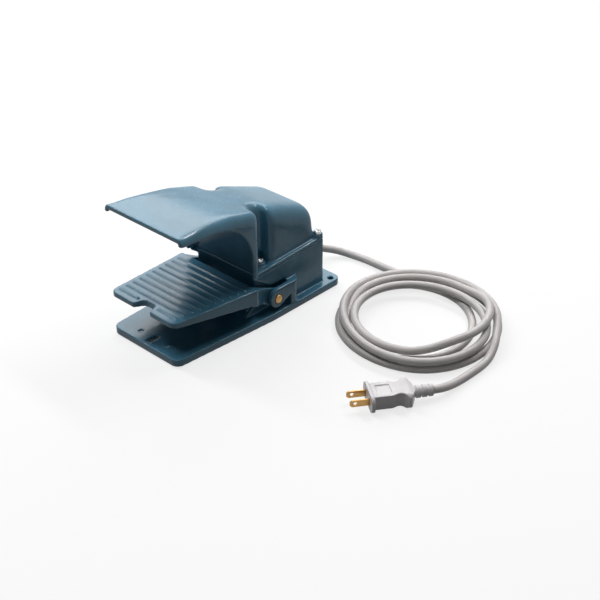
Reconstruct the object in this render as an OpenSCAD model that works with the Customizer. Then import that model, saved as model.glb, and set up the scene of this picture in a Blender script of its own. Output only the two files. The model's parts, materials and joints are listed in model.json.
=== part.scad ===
// Guarded treadle foot switch: an enamelled base casting with a hinged, ribbed pedal under a fixed
// hood, a snap-action switch in the box behind it, and a mains cord in a loose coil with its plug.
// Millimetres, +Z up. The toe of the pedal points to -Y and the cord leaves at +Y.
// The origin is under the middle of the base, on the surface that the feet stand on.

/* [Base plate] */
// Length of the plate from toe edge to heel edge
base_l = 202; // [196:1:230]
// Width of the plate at the toe
toe_w = 85; // [80:0.5:92]
// Width of the plate from the taper to the heel
heel_w = 100.5; // [100:0.5:112]
// Distance from the toe edge to where the sides turn parallel
taper_l = 112; // [100:1:125]
// Thickness of the plate
plate_t = 7; // [6:0.5:9]
// Radius of the plate's corners
plate_r = 7.5; // [5:0.5:10]
// Depth of the hollow under the plate
hollow_h = 3.5; // [2:0.5:4]
// Height that the rubber feet hold the plate off the floor
foot_h = 1; // [0.5:0.25:2]
// Diameter of a rubber foot
foot_d = 14; // [10:1:18]
// Width of the mounting slot at the toe
slot_w = 5.5; // [4.5:0.5:6.5]
// Length of the mounting slot, end to end
slot_l = 13; // [9:0.5:14]
// Distance from the toe edge to the middle of the slot
slot_y = 10; // [9.5:0.5:14]
// Diameter of the two mounting holes at the heel
heel_hole_d = 5.5; // [4.5:0.5:6]
// Distance between the two mounting holes at the heel
heel_hole_gap = 88; // [84:0.5:89]
// Distance from the heel edge to the mounting holes
heel_hole_inset = 8.5; // [7.5:0.5:10]

/* [Lower housing] */
// Distance from the toe edge to the front wall
front_wall_y = 99.5; // [98.5:0.5:102]
// Length of the housing from the front wall to the outside of the rear wall
housing_l = 85.5; // [84:0.5:90]
// Outside width of the housing
housing_w = 85; // [84:0.5:87]
// Wall thickness of the housing
wall = 4; // [3:0.25:4.5]
// Height of the joint between the castings above the plate, at the front wall
joint_h = 40.5; // [39:0.5:46]
// Slope of the joint, rising to the rear, in degrees
joint_slope = 3.2; // [0:0.2:4]

/* [Pivot] */
// Distance from the front wall to the pivot pin
pivot_back = 18; // [16:0.5:20]
// Height of the pivot pin above the plate
pivot_h = 13; // [12:0.5:15]
// Diameter of the pivot pin
pin_d = 8; // [6:0.5:9]
// Length of pin that stands out of each ear
pin_proud = 1; // [0.5:0.25:1]
// Radius of the round end of an ear
ear_r = 9.5; // [9:0.25:10.5]
// Thickness of an ear
ear_t = 4.7; // [4:0.1:5.2]
// Wall thickness of a pivot bush
bush_t = 1.75; // [1:0.25:2]
// Running clearance round the pin, on the radius
run_gap = 0.06; // [0.02:0.01:0.1]
// Gap at each side of a pedal arm
side_gap = 0.7; // [0.4:0.1:1]

/* [Pedal] */
// Width of the pedal at the toe
pedal_toe_w = 82.6; // [78:0.2:84]
// Distance from the pedal's rear corners to the sides of the plate
pedal_inset = 0.45; // [0.35:0.05:1.75]
// Gap between the rear edge of the pedal and the front wall
pedal_gap = 7.5; // [6:0.5:10]
// Height of the tread at the toe, above the plate
pedal_h = 37; // [35:0.5:40]
// Downward slope of the tread towards the rear at rest, in degrees
pedal_slope = 1.9; // [1:0.1:2.4]
// Thickness of the tread
pedal_t = 3.2; // [2.6:0.1:4]
// Thickness of the skirt round the pedal
skirt_t = 3; // [2.4:0.2:4]
// Depth of the skirt at the toe
skirt_toe_h = 4.8; // [4.4:0.2:6]
// Depth of the skirt at the rear
skirt_heel_h = 15; // [13:0.5:16]
// Number of ribs across the tread
rib_n = 10; // [6:1:10]
// Distance from rib to rib
rib_pitch = 8.25; // [7:0.25:8.25]
// Distance from the toe edge to the first rib
rib_first = 7.7; // [6.5:0.1:8.5]
// Width of a rib
rib_w = 3; // [2:0.2:3.6]
// Height of a rib above the tread
rib_h = 1.3; // [0.8:0.1:2]
// Margin from a rib's end to the side of the pedal
rib_margin = 4.8; // [4:0.2:7]
// Width of the toe notch
notch_w = 18; // [14:0.5:22]
// Depth of the toe notch
notch_l = 11; // [9:0.5:12]
// Thickness of a pedal arm
arm_w = 6.4; // [5.6:0.2:7]
// Radius of the arm's end round the pin
arm_r = 8.5; // [8:0.25:9]
// Angle that the pedal turns through when it is pressed, in degrees
pedal_travel = 8; // [5:0.5:8]

/* [Cover] */
// Distance from the toe edge to the front of the hood
hood_y = 7; // [5:0.5:12]
// Width of the hood at its front
hood_front_w = 98.5; // [92:0.5:100]
// Width of the hood at its rear
hood_rear_w = 87.5; // [86.5:0.5:89]
// Height of the hood's top at its front, above the plate
hood_h = 116.8; // [112:0.1:122]
// Depth of the hood's side rims
hood_rim_h = 6; // [5:0.25:8]
// Thickness of the hood's front lip
lip_t = 4.2; // [3.8:0.1:5]
// Drop of the roof from the front of the hood to the front wall
roof_drop = 11.5; // [9.5:0.5:13]
// Slope of the switch box's roof, in degrees
roof_slope = 20.3; // [18:0.1:23]
// Wall thickness of the cover
cover_t = 3.5; // [2.8:0.1:4]
// Thickness of the flange that the cover is screwed down by
flange_t = 3.5; // [3:0.25:5]
// Width of the switch box
box_w = 77; // [74:0.5:78]
// Gap between the rear of the switch box and the rear of the flange
box_inset = 6.5; // [6.5:0.5:9]
// Draft of the switch box's rear wall, in degrees
box_draft = 4; // [1:0.5:6]
// Depth of a screw pocket between hood and switch box
pocket_l = 15.5; // [13:0.5:17]
// Width of the neck between the two screw pockets
neck_w = 52; // [46:1:53]

/* [Cover screws] */
// Thread diameter of a cover screw
screw_d = 3.5; // [3:0.5:4]
// Head diameter of a cover screw
screw_head_d = 7; // [6:0.25:7.5]
// Height of a cover screw's head
screw_head_h = 3.9; // [2.5:0.1:4.2]
// Height of the pad that a cover screw stands on
pad_h = 3; // [1:0.25:4]
// Length of a cover screw under its head
screw_l = 14; // [10:1:18]

/* [Switch] */
// Length of the switch case
switch_l = 49; // [45:1:50]
// Width of the switch case
switch_w = 17.5; // [16:0.5:18]
// Height of the switch case
switch_h = 24; // [20:1:25]
// Height of the case above the plate
switch_z = 35; // [35:0.5:37]
// Distance between the switch's two mounting screws
switch_hole_gap = 25.4; // [25:0.1:26]
// Thickness of the steel bracket
bracket_t = 2; // [1.5:0.25:2.5]
// Diameter of the plunger
plunger_d = 4; // [3:0.5:5]
// Gap between the plunger and the adjusting screw at rest
plunger_gap = 0.3; // [0.2:0.05:0.4]

/* [Return spring] */
// Outer diameter of the spring
spring_d = 13; // [12:0.5:15]
// Wire diameter of the spring
spring_wire = 1.5; // [1:0.1:1.8]
// Number of turns
spring_turns = 8; // [6:1:9]
// Distance from the pedal's rear edge to the spring
spring_back = 16; // [14:0.5:20]

/* [Cord and plug] */
// Diameter of the cord
cord_d = 7.4; // [6.5:0.1:7.6]
// Height of the cord's exit above the plate
exit_h = 11; // [10:0.5:13]
// Length of the cord boot outside the rear wall
boot_l = 21; // [16:1:26]
// Radius of the coil's outer turn on the floor
coil_r = 76; // [74:0.5:77]
// Radius of the coil's outer turn in the upper layer
coil_top_r = 72; // [71:0.5:72.5]
// Radius of the coil's inner turn
coil_inner_r = 55; // [52:0.5:56]
// Distance between the plug's blades
blade_gap = 12.7; // [12.5:0.1:12.9]
// Length of a blade outside the plug
blade_l = 16.4; // [15.9:0.1:18.3]
// Width of the plug's front flange
plug_flange_w = 32; // [29:0.5:33]
// Width of the plug's body
plug_w = 20.5; // [19:0.5:22]
// Width of the plug's waist, in front of its finger flange
plug_waist_w = 14; // [13.5:0.5:17]
// Width of the plug's finger flange
plug_finger_w = 30; // [25:0.5:30]
// Height of the plug's body
plug_h = 13; // [12:0.5:14]

/* [Hidden] */
$fn = 48;

enamel = [0.42, 0.55, 0.63];
zinc = [0.78, 0.79, 0.80];
brass = [0.80, 0.62, 0.28];
grey_pvc = [0.78, 0.77, 0.76];
black = [0.12, 0.12, 0.13];

cut = 0.5;            // how far a cutting shape runs past what it cuts
fit_gap = 0.02;       // clearance of a piece seated in its hole
far = 300;            // longer than any piece of the switch

plate_z = foot_h + plate_t;
housing_rear_y = front_wall_y + housing_l;
joint_z = plate_z + joint_h;
pin_y = front_wall_y + pivot_back;
pin_z = plate_z + pivot_h;

// Pedal arms run in a channel between the recessed inner wall and the ears
ear_inset = 0.75;
ear_out_x = heel_w / 2 - ear_inset;
ear_in_x = ear_out_x - ear_t;
arm_out_x = ear_in_x - side_gap;
arm_in_x = arm_out_x - arm_w;
channel_x = arm_in_x - side_gap;
channel_wall = 4;
bay_x = channel_x - channel_wall;
channel_rear_y = pin_y + ear_r + 7;
channel_roof_z = plate_z + 25.5;
lug_rear_y = channel_rear_y + 15;
cheek_front_y = front_wall_y - 4.5;

// Pedal
pedal_heel_w = heel_w - 2 * pedal_inset;
pedal_l = front_wall_y - pedal_gap;
tread_z = plate_z + pedal_h;
heel_tread_z = tread_z - pedal_l * tan(pedal_slope);
finger_w = 12;
finger_z = pin_z + 3.5;
finger_h = 7.5;
finger_tip_y = pin_y + 33.5;
adjuster_y = finger_tip_y - 6;
adjuster_z = finger_z + finger_h + 6;
hub_r = pin_d / 2 + 5;
window_gap = 0.4;

// Cover
hood_top_z = plate_z + hood_h;
hood_rear_y = front_wall_y + cover_t;
box_rear_y = housing_rear_y - box_inset;
box_front_y = hood_rear_y + pocket_l;
// The roof is level at the hood's front, bends down at the knee and again over the switch box
knee_y = hood_y + 54;
knee_drop = 1.1;
knee_z = hood_top_z - knee_drop;
knee_r = 290;
front_slope = atan(knee_drop / (knee_y - hood_y));
mid_slope = atan((roof_drop - knee_drop) / (front_wall_y - knee_y));
knee_sag = knee_r * (1 / cos((mid_slope - front_slope) / 2) - 1);
break_y = box_front_y + 7.5;
break_z = knee_z - (break_y - knee_y) * tan(mid_slope);
shoulder_r = 12;
box_shoulder_r = 15;
neck_shoulder_r = 8;

// Cover screws stand square to the sloping joint
front_screw = [neck_w / 2 + 6, hood_rear_y + pocket_l / 2 + 1];
rear_screw = [housing_w / 2 - 4, housing_rear_y - 4];
screw_points = [for (p = [front_screw, rear_screw]) each [p, [-p[0], p[1]]]];
post_r = 4.5;
pad_r = 5;

// Switch, with its plunger pointing down at the adjusting screw
switch_base_z = plate_z + switch_z;
switch_mid_y = adjuster_y;
bracket_foot_w = bay_x - switch_w / 2 - 1.25;
bracket_post = [switch_w / 2 + bracket_foot_w - 7.5, 17.5];
bracket_z = switch_base_z - 5.5;
bracket_screw_d = 4;
switch_screw_d = 3.5;
switch_hole_z = switch_base_z + 7;
terminal_pitch = 17;
terminal_t = 1;
terminal_screw_d = 3;

// Return spring stands on the plate and carries the pedal
spring_y = pedal_l - spring_back;
spring_top_z = tread_z - (spring_y + spring_d / 2) * tan(pedal_slope) - pedal_t - 0.3;
spigot_d = spring_d - 2 * spring_wire - 1;
// The pedal's spigot is thinner and set back, because it swings forward as the pedal goes down
pedal_spigot_d = spigot_d - 2;
pedal_spigot_h = 3;
pedal_spigot_back = 1;

// Cord: points are measured from the toe edge of the plate, chosen by hand
exit_z = plate_z + exit_h;
boot_tip_y = housing_rear_y + boot_l;
floor_z = cord_d / 2 + 0.1;
coil_centre = [147.3, 193.8];
coil_start_a = 117;
coil_turns = 4.24;
layer_z = cord_d + 0.5;
lead_route = [
  [0, 212, 18.3], [1.5, 219, 15.5], [4.5, 227, 11], [10, 235.6, 8], [18, 242.2, 5.4], [28, 246, 4],
  [38, 247.6, 3.8], [48, 248.2, 3.8], [58, 248.2, 3.8], [68, 248.3, 3.8], [78, 249, 3.8],
  [88, 250.6, 3.8], [98, 253.5, 3.8]
];
tail_route = [
  [218.8, 215.5, 11.4], [224, 206.5, 9.6], [227.5, 197.5, 6.6], [230, 188, 4.5], [231.2, 177, 3.8],
  [231.3, 166, 3.8], [231, 155, 3.8], [230.4, 145, 4], [229.8, 136, 4.9], [228.9, 129, 6], [227.7, 122.8, 7.2]
];
plug_face = [193, 72.7];
plug_z = 8;
plug_turn = 144;
plug_l = 55;

// ---- Shapes and helpers ----

function unit(v) = v / norm(v);

// Points of the corner at b, between a and c, rounded by radius r in n steps
function corner(a, b, c, r, n) =
  let (
    u = unit(a - b),
    w = unit(c - b),
    half = acos(u * w) / 2,
    centre = b + unit(u + w) * r / sin(half),
    v0 = b + u * r / tan(half) - centre,
    v1 = b + w * r / tan(half) - centre,
    sweep = atan2(cross(v0, v1), v0 * v1)
  )
  [for (i = [0:n]) let (t = sweep * i / n)
    centre + [v0[0] * cos(t) - v0[1] * sin(t), v0[0] * sin(t) + v0[1] * cos(t)]];

// Outline whose corners are rounded, each entry being [x, y, radius]
function rounded(list, n = 6) = [
  for (i = [0:len(list) - 1])
    let (
      a = list[(i + len(list) - 1) % len(list)],
      b = list[i],
      c = list[(i + 1) % len(list)]
    )
    each (b[2] == 0 ? [[b[0], b[1]]] : corner([a[0], a[1]], [b[0], b[1]], [c[0], c[1]], b[2], n))
];

// Tube along a list of points; side is a direction that the tube never runs along
function ring(points, i, r, sides, side) =
  let (
    last = len(points) - 1,
    along = unit(points[min(i + 1, last)] - points[max(i - 1, 0)]),
    u = unit(cross(along, side)),
    v = cross(u, along)
  )
  [for (k = [0:sides - 1]) let (t = 360 * (k + 0.5) / sides) points[i] + r * (u * cos(t) + v * sin(t))];

module tube(points, d, sides = 8, side = [0, 0, 1]) {
  last = len(points) - 1;
  skin = [
    for (i = [0:last - 1], k = [0:sides - 1]) let (m = (k + 1) % sides)
      each [
        [i * sides + k, (i + 1) * sides + k, (i + 1) * sides + m],
        [i * sides + k, (i + 1) * sides + m, i * sides + m]
      ]
  ];
  caps = [
    for (k = [1:sides - 2])
      each [[0, k, k + 1], [last * sides, last * sides + k + 1, last * sides + k]]
  ];
  polyhedron([for (i = [0:last]) each ring(points, i, d / 2, sides, side)], concat(skin, caps));
}

// Least gap between parts of a tube whose points lie more than skip steps apart along it
function self_gap(points, d, skip) = min([
  for (i = [0:len(points) - 1]) for (j = [i + skip:1:len(points) - 1]) norm(points[i] - points[j])
]) - d;

module from_toe() translate([0, -base_l / 2, 0]) children();

module both_sides() {
  children();
  mirror([1, 0, 0]) children();
}

// Extrudes an outline drawn in Y and Z from x0 to x1
module across(x0, x1) translate([x0, 0, 0]) rotate([90, 0, 90]) linear_extrude(x1 - x0) children();

// Extrudes an outline drawn in X and Z from y0 to y1
module along_y(y0, y1) translate([0, y1, 0]) rotate([90, 0, 0]) linear_extrude(y1 - y0) children();

module cross_pin(y, z, d, x0, x1) translate([x0, y, z]) rotate([0, 90, 0]) cylinder(d = d, h = x1 - x0);

// Puts children in the plane of the joint between the castings
module at_joint()
  translate([0, front_wall_y, joint_z]) rotate([joint_slope, 0, 0]) translate([0, -front_wall_y, 0])
    children();

module above_joint() at_joint() translate([-far, -far, 0]) cube([2 * far, 3 * far, far]);
module below_joint() at_joint() translate([-far, -far, -far]) cube([2 * far, 3 * far, far]);

// Pan-head screw standing on z = 0 with its shank below and a cross recess in its head
module pan_screw(d, head_d, head_h, l) {
  recess_w = head_d * 0.16;
  difference() {
    intersection() {
      cylinder(d = head_d, h = head_h);
      translate([0, 0, head_h - head_d * 0.95]) sphere(d = head_d * 1.9);
    }
    for (a = [0, 90]) rotate(a)
      translate([-head_d * 0.28, -recess_w / 2, head_h * 0.45]) cube([head_d * 0.56, recess_w, head_h]);
  }
  translate([0, 0, -l]) cylinder(d = d, h = l);
}

// Slotted fillister-head screw standing on z = 0 with its shank below
module fillister_screw(d, head_d, head_h, l) {
  difference() {
    intersection() {
      cylinder(d = head_d, h = head_h);
      translate([0, 0, head_h - head_d * 0.8]) sphere(d = head_d * 1.6);
    }
    translate([-head_d, -head_d * 0.08, head_h * 0.6]) cube([2 * head_d, head_d * 0.16, head_h]);
  }
  translate([0, 0, -l]) cylinder(d = d, h = l);
}

// ---- Base ----

module plate_outline(inset = 0) {
  side = heel_w / 2 - inset;
  r = plate_r - min(inset, plate_r - 2);
  half = [
    [toe_w / 2 - inset, inset, r], [side, taper_l, 60], [side, base_l - inset, r]
  ];
  polygon(rounded(concat(half, [for (i = [2:-1:0]) [-half[i][0], half[i][1], half[i][2]]])));
}

module housing_outline() {
  half_w = housing_w / 2;
  polygon(rounded([
    [-half_w, cheek_front_y, 1], [half_w, cheek_front_y, 1],
    [half_w, housing_rear_y, 1.5], [-half_w, housing_rear_y, 1.5]
  ]));
}

// Side view of the space that a pedal arm swings in
module channel_profile() polygon(rounded([
  [cheek_front_y - 20, plate_z, 0], [channel_rear_y, plate_z, 0], [channel_rear_y, channel_roof_z, 3],
  [pin_y - 2, channel_roof_z - 0.5, 14], [cheek_front_y, joint_z - 2, 6],
  [cheek_front_y - 20, joint_z + 20, 0]
]));

module housing_cavity() {
  half_w = housing_w / 2 - wall;
  rear_y = housing_rear_y - wall;
  translate([-bay_x, front_wall_y + wall, plate_z])
    cube([2 * bay_x, rear_y - front_wall_y - wall, far]);
  translate([-half_w, channel_rear_y + channel_wall, plate_z])
    cube([2 * half_w, rear_y - channel_rear_y - channel_wall, far]);
  translate([-half_w, pin_y - 4, channel_roof_z + channel_wall])
    cube([2 * half_w, rear_y - pin_y + 4, far]);
}

module housing_walls() difference() {
  intersection() {
    translate([0, 0, plate_z - cut]) linear_extrude(far) housing_outline();
    below_joint();
  }
  translate([0, 0, 0]) both_sides() across(channel_x, far) channel_profile();
  translate([-housing_w / 2 + wall, cheek_front_y - cut, plate_z])
    cube([housing_w - 2 * wall, front_wall_y - cheek_front_y + cut, far]);
  housing_cavity();
}

module ear_profile() {
  foot_z = plate_z - cut;
  translate([pin_y, pin_z + 1]) circle(r = ear_r);
  polygon([
    [pin_y, pin_z + 1 + ear_r], [lug_rear_y - 3, pin_z + 1 + ear_r], [lug_rear_y - 3, foot_z],
    [channel_rear_y, foot_z], [channel_rear_y, plate_z + 11.5],
    [pin_y + ear_r * 0.45, pin_z + 1 - ear_r * 0.89]
  ]);
}

module ears() both_sides() intersection() {
  across(channel_x - 1, ear_out_x) ear_profile();
  linear_extrude(far) polygon(rounded([
    [ear_in_x, pin_y - 2 * ear_r, 0], [ear_out_x, pin_y - 2 * ear_r, 0], [ear_out_x, channel_rear_y + 7, 5],
    [housing_w / 2 - 1, lug_rear_y, 0], [channel_x - 1, lug_rear_y, 0], [channel_x - 1, channel_rear_y, 0],
    [ear_in_x, channel_rear_y, 0]
  ]));
}

module gussets() both_sides() across(channel_x - 4.5, channel_x - 0.5) polygon([
  [front_wall_y - 13, plate_z - cut], [front_wall_y + cut, plate_z - cut], [front_wall_y + cut, plate_z + 9]
]);

// Posts that the cover screws and the bracket screws bite into
module screw_posts() difference() {
  intersection() {
    union() {
      both_sides() translate([front_screw[0], front_screw[1], plate_z - cut]) cylinder(r = post_r, h = far);
      both_sides() translate([0, 0, plate_z - cut]) linear_extrude(far) polygon(rounded([
        [rear_screw[0] - post_r, rear_screw[1] - post_r, post_r],
        [housing_w / 2 - 1, rear_screw[1] - post_r, 0],
        [housing_w / 2 - 1, housing_rear_y - 1, 0], [rear_screw[0] - post_r, housing_rear_y - 1, 0]
      ]));
    }
    below_joint();
  }
  both_sides() across(channel_x, far) channel_profile();
}

module bracket_posts() for (side = [-1, 1])
  translate([-bracket_post[0], switch_mid_y + side * bracket_post[1], plate_z - cut])
    cylinder(r = post_r, h = bracket_z - plate_z + cut);

module finger_window() {
  front_drop = (pin_y - front_wall_y) * sin(pedal_travel);
  translate([-finger_w / 2 - 2, front_wall_y - cut, finger_z - front_drop - window_gap])
    cube([finger_w + 4, wall + 2 * cut, finger_h + front_drop + 2 * window_gap]);
}

foot_points = [
  [toe_w / 5, 11 + foot_d / 2], [-toe_w / 5, 11 + foot_d / 2],
  [heel_w / 2 - 16, base_l - 20], [-heel_w / 2 + 16, base_l - 20]
];

// Hollow under the plate, with ribs and bosses left standing in it
module plate_hollow() translate([0, 0, foot_h - cut]) linear_extrude(hollow_h + cut) difference() {
  plate_outline(5);
  for (x = [-1, 1]) translate([x * toe_w / 5 - 1.5, 0]) square([3, base_l]);
  for (y = [base_l * 0.25, base_l * 0.5, base_l * 0.75]) translate([-heel_w / 2, y]) square([heel_w, 3]);
  for (p = foot_points) translate(p) circle(d = foot_d + 5);
  for (x = [-1, 1]) translate([x * heel_hole_gap / 2, base_l - heel_hole_inset]) circle(d = heel_hole_d + 7);
  translate([-slot_w / 2 - 3, 0]) square([slot_w + 6, slot_y + slot_l / 2 + 4]);
}

module mounting_holes() {
  for (x = [-1, 1]) translate([x * heel_hole_gap / 2, base_l - heel_hole_inset, -cut])
    cylinder(d = heel_hole_d, h = plate_z + 2 * cut);
  run = (slot_l - slot_w) / 2;
  for (y = [-run, run]) translate([0, slot_y + y, -cut]) cylinder(d = slot_w, h = plate_z + 2 * cut);
  translate([-slot_w / 2, slot_y - run, -cut]) cube([slot_w, 2 * run, plate_z + 2 * cut]);
}

module base_casting() color(enamel) from_toe() difference() {
  union() {
    translate([0, 0, foot_h]) linear_extrude(plate_t) plate_outline();
    housing_walls();
    ears();
    gussets();
    screw_posts();
    bracket_posts();
    translate([0, spring_y, plate_z - cut]) cylinder(d = spigot_d, h = 5 + cut);
  }
  plate_hollow();
  mounting_holes();
  // Shallow ejector marks beside the slot
  for (x = [-1, 1]) translate([x * toe_w / 5, 11, plate_z - 0.6]) cylinder(d = 5, h = 1);
  for (p = foot_points)
    translate([p[0], p[1], foot_h - cut]) cylinder(d = foot_d + 2 * fit_gap, h = 1.5 + cut);
  cross_pin(pin_y, pin_z, pin_d + 2 * fit_gap, -far, far);
  at_joint() for (p = screw_points) translate([p[0], p[1], flange_t + pad_h - screw_l])
    cylinder(d = screw_d + 2 * fit_gap, h = screw_l);
  for (side = [-1, 1]) translate([-bracket_post[0], switch_mid_y + side * bracket_post[1], bracket_z - 12])
    cylinder(d = bracket_screw_d + 2 * fit_gap, h = 12 + cut);
  finger_window();
  translate([0, housing_rear_y - wall - cut, exit_z]) rotate([-90, 0, 0])
    cylinder(d = boot_hole_d, h = wall + 2 * cut);
}

module rubber_feet() color(black) from_toe()
  for (p = foot_points) translate([p[0], p[1], 0]) cylinder(d = foot_d, h = foot_h + 1.5 - fit_gap);

// ---- Cover ----

// Side view of the roof, lowered and drawn in by inset
module roof_profile(inset = 0) {
  rear_y = box_rear_y - inset;
  rear_z = (break_z - (rear_y - break_y) * tan(roof_slope)) - inset;
  lean = (rear_z - joint_z) * tan(box_draft);
  polygon(rounded([
    [hood_y - cut, plate_z, 0], [hood_y - cut, hood_top_z - inset, 0],
    [knee_y, knee_z - inset, knee_r], [break_y, break_z - inset, 110],
    [rear_y - lean, rear_z + lean * tan(roof_slope), 6 - inset], [rear_y, joint_z, 0], [rear_y, plate_z, 0]
  ], 8));
}

// Space inside one long rounded shoulder through (x, y, z) that dips to the rear and closes in
module shoulder(x, y, z, r, dip, close) translate([x, y, z]) rotate([-dip, 0, close])
  along_y(-far, far) polygon(rounded([[-far, 0, 0], [0, 0, r], [0, -far, 0], [-far, -far, 0]], 10));

module shoulders(x, y, z, r, dip, close) intersection() {
  shoulder(x, y, z, r, dip, close);
  mirror([1, 0, 0]) shoulder(x, y, z, r, dip, close);
}

// Solid under the hood's top, drawn in by inset on every side but the rear
module hood_solid(inset, rear_y) {
  close = atan((hood_front_w - hood_rear_w) / 2 / (hood_rear_y - hood_y));
  front = hood_front_w / 2 - inset;
  rear = front - (rear_y - hood_y) * tan(close);
  knee_x = front - (knee_y - hood_y) * tan(close);
  intersection() {
    across(-far, far) roof_profile(inset);
    // Heights of the shoulders' three straight runs above the roof, and their slopes
    intersection_for (run = [
      [3.2, front_slope], [1 - knee_sag, (front_slope + mid_slope) / 2], [0.3, mid_slope]
    ])
      shoulders(knee_x, knee_y, knee_z + run[0] - inset, shoulder_r - inset, run[1], close);
    translate([0, 0, plate_z]) linear_extrude(far) polygon(rounded([
      [front, hood_y + inset, 2.5 - inset / 2], [rear, rear_y, inset == 0 ? 9 : 3],
      [-rear, rear_y, inset == 0 ? 9 : 3], [-front, hood_y + inset, 2.5 - inset / 2]
    ]));
  }
}

module box_outline(inset) {
  half_w = box_w / 2 - inset;
  polygon(rounded([
    [-half_w, box_front_y + inset, 5 - inset], [half_w, box_front_y + inset, 5 - inset],
    [half_w, box_rear_y - inset, 5 - inset], [-half_w, box_rear_y - inset, 5 - inset]
  ]));
}

// Solid under the switch box's roof, with the neck that joins it to the hood
module box_solid(inset, front_y) {
  neck = neck_w / 2 - inset;
  intersection() {
    across(-far, far) roof_profile(inset);
    translate([0, 0, plate_z]) union() {
      intersection() {
        linear_extrude(far) box_outline(inset);
        shoulders(
          box_w / 2 - inset, break_y, break_z - plate_z - inset, box_shoulder_r - inset, roof_slope, 0
        );
      }
      intersection() {
        translate([-neck, front_y, 0]) cube([2 * neck, box_front_y + 12 - front_y, far]);
        shoulders(neck, knee_y, knee_z - plate_z - inset, neck_shoulder_r - inset, mid_slope, 0);
      }
    }
  }
}

// Space open to the foot under the hood's rim and through the arch at each side
module arch_profile() {
  rim_z = hood_top_z - hood_rim_h;
  arch_y = front_wall_y - 7.5;
  polygon(rounded([
    [-20, plate_z - 20, 0], [-20, rim_z + 1.5, 0], [arch_y, rim_z - 8.5, 48], [arch_y, plate_z - 20, 0]
  ], 12));
}

module cover_flange() at_joint() linear_extrude(flange_t) difference() {
  housing_outline();
  translate([-housing_w / 2 + wall, cheek_front_y - cut]) square([housing_w - 2 * wall, wall + 2 * cut]);
}

module cover_casting() color(enamel) from_toe() difference() {
  union() {
    difference() {
      intersection() {
        hood_solid(0, hood_rear_y);
        above_joint();
      }
      hood_solid(cover_t, front_wall_y);
      across(-far, far) arch_profile();
      translate([-hood_front_w / 2 + 4.5, -far + hood_y + 2 * cover_t, hood_top_z - lip_t - far])
        cube([hood_front_w - 9, far, far]);
    }
    intersection() {
      box_solid(0, front_wall_y + 1);
      above_joint();
    }
    cover_flange();
    intersection() {
      at_joint() for (p = screw_points)
        translate([p[0], p[1], 0.5]) cylinder(r = pad_r, h = flange_t + pad_h - 0.5);
      linear_extrude(far) housing_outline();
    }
  }
  box_solid(cover_t, hood_rear_y);
  at_joint() for (p = screw_points) translate([p[0], p[1], -cut])
    cylinder(d = screw_d + 0.4, h = flange_t + pad_h + 2 * cut);
}

module cover_screws() color(zinc) from_toe() at_joint() for (p = screw_points)
  translate([p[0], p[1], flange_t + pad_h]) fillister_screw(screw_d, screw_head_d, screw_head_h, screw_l);

// ---- Pedal ----

module pedal_outline(inset = 0) {
  function side(y) = pedal_toe_w / 2 + (pedal_heel_w - pedal_toe_w) / 2 * y / pedal_l - inset;
  notch = notch_w / 2 + inset;
  half = [
    [notch - 2, notch_l + inset, 5], [notch + 1, inset, 2.5],
    [side(0), inset, 7], [side(pedal_l), pedal_l - inset, 1.5]
  ];
  polygon(rounded(concat(half, [for (i = [3:-1:0]) [-half[i][0], half[i][1], half[i][2]]])));
}

// The tread's own frame: its top is z = 0 and slopes down to the rear
module at_tread() translate([0, 0, tread_z]) rotate([-pedal_slope, 0, 0]) children();

module ribs() for (i = [0:rib_n - 1]) {
  y = rib_first + i * rib_pitch;
  reach = pedal_toe_w / 2 + (pedal_heel_w - pedal_toe_w) / 2 * y / pedal_l - rib_margin;
  inner = y < notch_l + rib_w ? notch_w / 2 + 3.5 : 0;
  both_sides() translate([inner == 0 ? -cut : inner, 0, 0]) across(0, reach - max(inner, -cut)) polygon([
    [y - rib_w / 2, -cut], [y + rib_w / 2, -cut], [y + rib_w / 2, 0], [y + rib_w / 4, rib_h],
    [y - rib_w / 4, rib_h], [y - rib_w / 2, 0]
  ]);
}

module skirt() intersection() {
  translate([0, 0, -far]) linear_extrude(far) difference() {
    pedal_outline();
    pedal_outline(skirt_t);
  }
  across(-far, far) polygon([
    [-cut, 0], [pedal_l + cut, 0], [pedal_l + cut, -skirt_heel_h], [pedal_l - 4, -skirt_heel_h],
    [-cut, -skirt_toe_h]
  ]);
}

// Side view of an arm, from the rear of the pedal to its round end on the pin
module arm_profile() {
  root_y = pedal_l - 8;
  top = heel_tread_z - 0.5;
  low = heel_tread_z - skirt_heel_h + 1;
  translate([pin_y, pin_z]) circle(r = arm_r);
  polygon([
    [root_y, low], [root_y, top], [pedal_l - 2, top], [pin_y + arm_r * 0.4, pin_z + arm_r * 0.91],
    [pin_y - arm_r * 0.44, pin_z - arm_r * 0.89]
  ]);
}

module arms() both_sides() intersection() {
  across(arm_in_x, far) arm_profile();
  linear_extrude(far) polygon([
    [arm_in_x, pedal_l - 8], [pedal_heel_w / 2 - 1.5, pedal_l - 8], [pedal_heel_w / 2, pedal_l - 1.5],
    [arm_out_x, pin_y - ear_r - 5], [arm_out_x, far], [arm_in_x, far]
  ]);
}

// Finger that reaches through the front wall, over the pin, to the switch
module finger() across(-finger_w / 2, finger_w / 2) {
  translate([pedal_l - 3, finger_z]) square([finger_tip_y - pedal_l + 3, finger_h]);
  translate([pin_y, pin_z]) circle(r = hub_r);
}

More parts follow.
